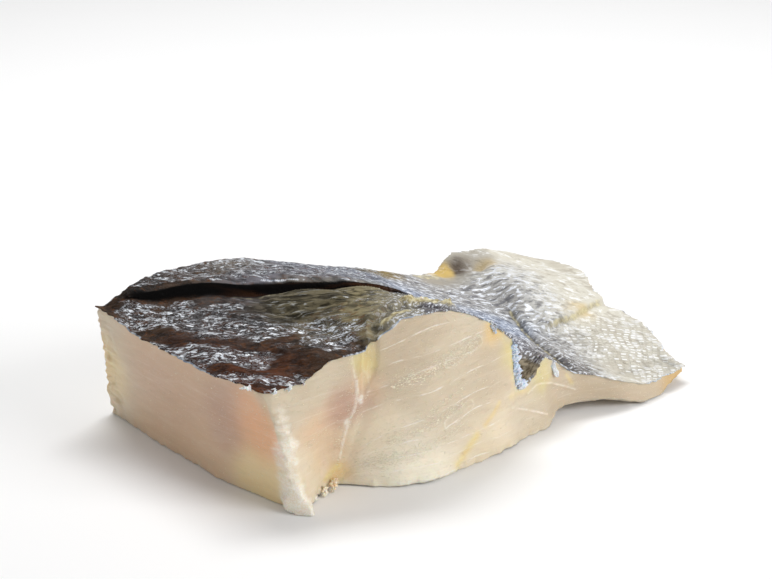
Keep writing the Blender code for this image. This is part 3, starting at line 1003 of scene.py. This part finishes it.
def skin_sheet():
    mesh = grid_cube(SKIN_CELLS)
    refine(mesh, lambda middle: middle.z > 0.999)
    u, v, w = grid_points(mesh)

    def surface(u, v):
        x, y = plan(u, v, np.ones_like(u))
        z = skin_height(x, y)
        edge_left, edge_right = np.clip(1 - u * 60, 0, 1) ** 2, np.clip(1 - (1 - u) * 60, 0, 1) ** 2
        edge_front, edge_rear = np.clip(1 - v * 40, 0, 1) ** 2, np.clip(1 - (1 - v) * 40, 0, 1) ** 2
        out = 0.5 + 0.5 * fractal((x + y) / 2.0, (x - y) / 9, 31) + 0.3 * hills((x + y) / 0.8, x * 0, 32)
        x = x + out * (edge_right - edge_left)
        y = y + out * (edge_rear - edge_front)
        along, behind = slit_place(x, y)
        forward = 1.4 * slit_strength(along) * bell(behind - 1.5, 1.1)
        x, y = x + forward * SLIT_RUN[1], y - forward * SLIT_RUN[0]
        return np.stack([x, y, z], axis=1)

    step = 1e-3
    across = surface(np.clip(u + step, 0, 1), v) - surface(np.clip(u - step, 0, 1), v)
    along = surface(u, np.clip(v + step, 0, 1)) - surface(u, np.clip(v - step, 0, 1))
    normal = np.cross(across, along)
    normal /= np.linalg.norm(normal, axis=1)[:, None]
    points = surface(u, v)
    x, y = plan(u, v, np.ones_like(u))
    s, behind = slit_place(x, y)
    a = s * SLIT_LENGTH
    gap_left, gap_front = x - loin_rim(v), y - front_rim(x)
    gap_right, gap_rear = flap_edge(v) - x, rear_cut(x, 1) - y
    inward = np.minimum.reduce([gap_left, gap_front, gap_right, gap_rear])
    steep = slit_strength(s) * bell(behind - 0.6, 1.4)
    in_notch = ease(-notch(x, y), 2, 5)
    relief = skin_relief(x, y) * (1 - 0.85 * steep) * (1 - in_notch)
    relief = relief + 0.4 * in_notch * fractal((x + y) / 1.6, points[:, 2] / 1.8, 90)
    held = np.clip(relief, -0.75, 2.5) * np.clip(0.25 + inward / 2.4, 0, 1)
    lift = np.where(w > 0.5, held, held - skin_thickness(x))
    move_to(mesh, place(points + normal * lift[:, None]))

    p, q = flow_place(x, y)
    ground = np.stack([x + 1.6 * fractal(x / 7, y / 7, 61), y + 1.6 * fractal(x / 7, y / 7, 62)], axis=1)
    inside_notch = ease(-notch(x, y), 2, 4.5) * (1 - ease(y, 12, 18))
    loin = 1 - ease(a, 64, 78)
    # where the real whitish film lies and the painted glints cluster on the loin
    zones = [((-4, 65), (10, 38), (22, 9)), ((-6, 42), (4, 21)), ((-8, 50), (-7, 20), (4, 4))]
    film_and_glints = np.maximum.reduce([bell(path_gap(x, y, *zone), reach) for zone, reach in zip(zones, (6, 3.4, 2.4))])
    folds = fold_area(x, y)
    film_and_glints = np.maximum(0.12 + 0.88 * film_and_glints, 0.85 * ease(behind, 2, 4)) * loin * (1 - 0.7 * folds)
    wall = ease(a, 1.5, 4) * (1 - ease(a, 73, 80)) * ease(behind, -0.9 - 1.2 * bell(a - 6, 5), 0.1) * (1 - ease(behind, 1.3, 1.9))
    # painted highlight: a thin silver glint line along the slit's lip, laid into the rim colour
    lip = bell(behind - 2.2, 0.35) * ease(a, 20, 32) * (1 - ease(a, 58, 68)) * (0.6 + 0.4 * hills(a / 5, 0 * a, 49))
    crease = path_gap(x, y, *CREASE)
    step = ease(x, 110, 116) * (1 - ease(x, 136, 142)) * bell(y - step_line(x) - 0.4, 0.5)
    cream = np.maximum.reduce([
        bell(path_gap(x, y, (40, 7), (45, 4.4), (49, 1)), 1.8), 0.45 * bell(behind + 1.3, 0.8) * ease(a, 24, 34) * (1 - ease(a, 66, 74)),
        0.75 * step, 0.6 * bell(path_gap(x, y, (103, 75), (108, 74)), 2), 0.55 * bell(crease, 0.5),
        0.8 * bell(path_gap(x, y, (29, 2.4), (36, 2)), 1.2), 0.14 * bell(path_gap(x, y, (84, 75.5), (92, 76)), 2.4),
    ])
    rim = (1 - ease(inward, 0.1, 0.6)) * (0.5 + 0.5 * hills((x + y) / 4, 0 * x, 47))
    notch_edge = bell(gap_front, 2.2 + 0.8 * hills(x * 1.3, y, 48)) * bell(np.maximum(abs(x - 69.5) - 1.5, 0), 1.6)
    attributes = {
        "wash": washes(ground, [((p, q), reach, colour) for p, q, reach, colour in SKIN_WASHES]),
        "grain": np.stack([*grain_place(x, y), np.zeros_like(a)], axis=1),
        "flow": np.stack([p, q, np.zeros_like(p)], axis=1),
        "bricks": np.stack([(0.773 * x - 0.634 * y) / 1.7 + 0.6 * fractal(x / 9, y / 9, 71), (0.634 * x + 0.773 * y) / 1.5,
                            np.zeros_like(p)], axis=1),
        "relief": held, "loin": loin, "film_and_glints": film_and_glints, "folds": folds, "fuzz": inside_notch, "cream": cream,
        "slope": ease(a, 62, 78) * (1 - ease(fold_gap(x, y), 10, 24)) * (1 - inside_notch) * (1 - bell(np.hypot(x - 88, y - 76), 5)) * (1 - ease(y, 62, 70) * ease(x, 98, 106)),
        "belly": np.maximum(ease(fold_gap(x, y), 2, 22), ease(y, 62, 70)) * ease(x, 96, 104) * (1 - bell(np.hypot(x - 114.5, y - 72.5), 8))
        * (1 - 0.85 * bell(y - step_line(x) - 0.6, 1.8) * ease(x, 106, 114)),
        "scales": ease(x, 108, 118) * (1 - ease(y, 20, 32)),
        "wall": wall, "rust": ease(a, 20, 42) * (1 - ease(behind, 0.9, 1.5)),
        "wall_run": np.stack([a, behind, np.zeros_like(a)], axis=1), "rim": np.maximum.reduce([rim, notch_edge, lip]),
    }
    return finish_piece("cod_skin", mesh, skin_finish(), attributes)


skin = skin_sheet()

# %% [markdown]
# ## Torn bits
#
# A few scraps of skin and tissue hang loose: a spike beside the notch, a lumpy roll on the notch's left
# edge, a scrap on the crest's right shoulder, white frays near the corner, and a cream tag on the crest.
# Each one is a small grid cube bent along a spine, with its section rounded and its end tapered. They
# are joined in one mesh.

# %% Torn bits
def on_rim(x, back=0.0, lift=0.0):
    """A place on the skin by the front cut."""
    y = front_rim(x) + back
    return x, y, skin_height(x, y) + lift


def on_left_rim(y, lift=0.0):
    x = loin_rim(y / REAR_CUT)
    return x, y, skin_height(x, y) + lift


def shred(mesh, spine, width, thick, seed, blunt=0.15, both_ends=False):
    """Add a tongue along the spine: the width lies along the view's plane, the thickness across it."""
    made = grid_cube((30, 8, 4))
    u, v, w = grid_points(made)
    spine = np.array(spine)
    stations = np.linspace(0, 1, len(spine))
    centre = np.stack([np.interp(u, stations, spine[:, axis]) for axis in range(3)], axis=1)
    ahead = spine[-1] - spine[0]
    outward = np.array((-0.55, -0.75, 0.35))
    sideways = np.cross(ahead, outward)
    sideways /= np.linalg.norm(sideways)
    square_v, square_w = 2 * v - 1, 2 * w - 1
    round_v = square_v * np.sqrt(1 - square_w**2 / 2)
    round_w = square_w * np.sqrt(1 - square_v**2 / 2)
    ends = 1 - np.abs(2 * u - 1) ** 2.5 if both_ends else 1 - u
    taper = (blunt + (1 - blunt) * np.sqrt(np.clip(ends, 0, 1))) * (1 + 0.4 * hills(u * 7, v * 3, seed))
    rag = 0.25 * hills(u * 9, v * 4, seed + 3)
    points = centre + (round_v * width / 2 * taper + rag)[:, None] * sideways
    points += (round_w * thick / 2 * taper + rag)[:, None] * outward
    move_to(made, place(points))
    part = bpy.data.meshes.new("part")
    made.to_mesh(part)
    made.free()
    mesh.from_mesh(part)
    bpy.data.meshes.remove(part)
    return u


def shred_finish():
    paint = Paint("cod_shreds", {"Roughness": 0.4, "Subsurface Weight": 0.2, "Subsurface Scale": 0.001,
                                 "Coat Weight": 0.3, "Coat Roughness": 0.15})
    spot = paint.node("ShaderNodeTexCoord", {}, {}, "Object")
    base = paint.colour("wash")
    blotch, grit = paint.noise(spot, 600, 4), paint.noise(spot, 1800, 3)
    base = paint.mix(blotch.ramp(0.5, 0.38) * 0.5, base, paint.mix(0.5, base, tint(90, 84, 76)))
    base = paint.mix(grit.ramp(0.54, 0.62) * 0.6, base, tint(252, 252, 252))
    return paint.set({"Base Color": base, "Normal": paint.bump(blotch + grit * 0.6, 0.3)})


SHREDS = (
    (((81, 1, 19), (84, -1, 17), (86, -2, 13)), 2.8, 0.7, (98, 98, 106), (236, 240, 244)),
    ((on_rim(59, 0.4), on_rim(59.8, -0.9, -1.2), (60.4, -4.8, 33.4)), 1.8, 0.6, (138, 146, 158), (214, 222, 232)),
    ((on_left_rim(10.4), (-7.9, 10.6, 33), (-8.6, 12, 32.4)), 1.3, 0.5, (236, 238, 240), (250, 250, 250)),
    ((on_rim(-2.6, 0.6), on_rim(-3.2, -0.9, -0.8)), 2.0, 0.5, (196, 198, 202), (238, 240, 242)),
    ((on_rim(1, 0.6), on_rim(1.4, -0.8, -1)), 2.2, 0.5, (204, 206, 208), (240, 240, 240)),
    ((on_rim(5, 0.6), on_rim(5.4, -0.7, -0.7)), 1.7, 0.5, (180, 178, 176), (230, 230, 230)),
    ((on_rim(41.5, 9), on_rim(44, 8.5, 0.2), on_rim(47, 6.5, 0.2), on_rim(49, 4, -0.4)), 2.6, 1.2, (208, 200, 164), (240, 236, 214)),
    ((on_rim(43, 11), on_rim(46, 10, 0.2), on_rim(48.6, 8.6, -0.2)), 1.6, 0.9, (214, 210, 190), (240, 238, 226)),
    (((15.6, 6.2, 2.6), (14.4, 4.6, 1.2), (13.4, 3.8, 0.3)), 2.0, 1.0, (236, 204, 150), (246, 232, 206)),
    (((11.8, 5, 2), (10.8, 3.8, 1), (10, 3.2, 0.3)), 1.6, 0.9, (240, 222, 190), (248, 238, 218)),
    (((8, 4.2, 1.6), (7.2, 3.2, 0.8), (6.4, 2.8, 0.3)), 1.4, 0.8, (244, 232, 208), (250, 244, 230)),
)


LUMP_COUNT = 10


def torn_bits():
    mesh, colours = bmesh.new(), []
    for seed, (spine, width, thick, root, tip) in enumerate(SHREDS):
        share = shred(mesh, spine, width, thick, seed)[:, None]
        blend = light(*root) * (1 - share) + light(*tip) * share
        colours.append(np.column_stack([blend, np.ones(len(share))]))
    edge = np.stack(on_rim(np.linspace(67.4, 72, 80), -0.4), axis=1)
    run = np.concatenate([[0], np.cumsum(np.linalg.norm(np.diff(edge, axis=0), axis=1))])
    for seed, far in enumerate(np.linspace(0, run[-1], LUMP_COUNT)):
        middle = np.array([np.interp(far, run, edge[:, axis]) for axis in range(3)])
        spine = [middle + along * np.array((0.5, 0, -1.3)) for along in (-1, 0, 1)]
        share = shred(mesh, spine, 1.9 + 0.5 * (seed % 3), 1.3, seed + 20, both_ends=True)[:, None]
        blend = light(168, 188, 216) * (1 - share) + light(232, 238, 246) * share
        colours.append(np.column_stack([blend, np.ones(len(share))]))
    return finish_piece("cod_skin_shreds", mesh, shred_finish(), {"wash": np.concatenate(colours)})


shreds = torn_bits()

# %% [markdown]
# ## The floor
#
# A plain pale sheet, much larger than the view.

# %% Floor
def floor_sheet():
    mesh = bmesh.new()
    bmesh.ops.create_grid(mesh, x_segments=1, y_segments=1, size=4)
    bmesh.ops.translate(mesh, verts=mesh.verts, vec=(0, 0, low.z))
    paint = Paint("floor", {"Base Color": (0.93, 0.93, 0.93, 1), "Roughness": 0.9})
    return finish_piece("floor", mesh, paint.material)


floor_sheet()

# %% Hand over to the frame
for piece, slot in ((flesh, "flesh"), (skin, "skin"), (shreds, "skin")):
    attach(piece, "root")
    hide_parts("salt_cod")
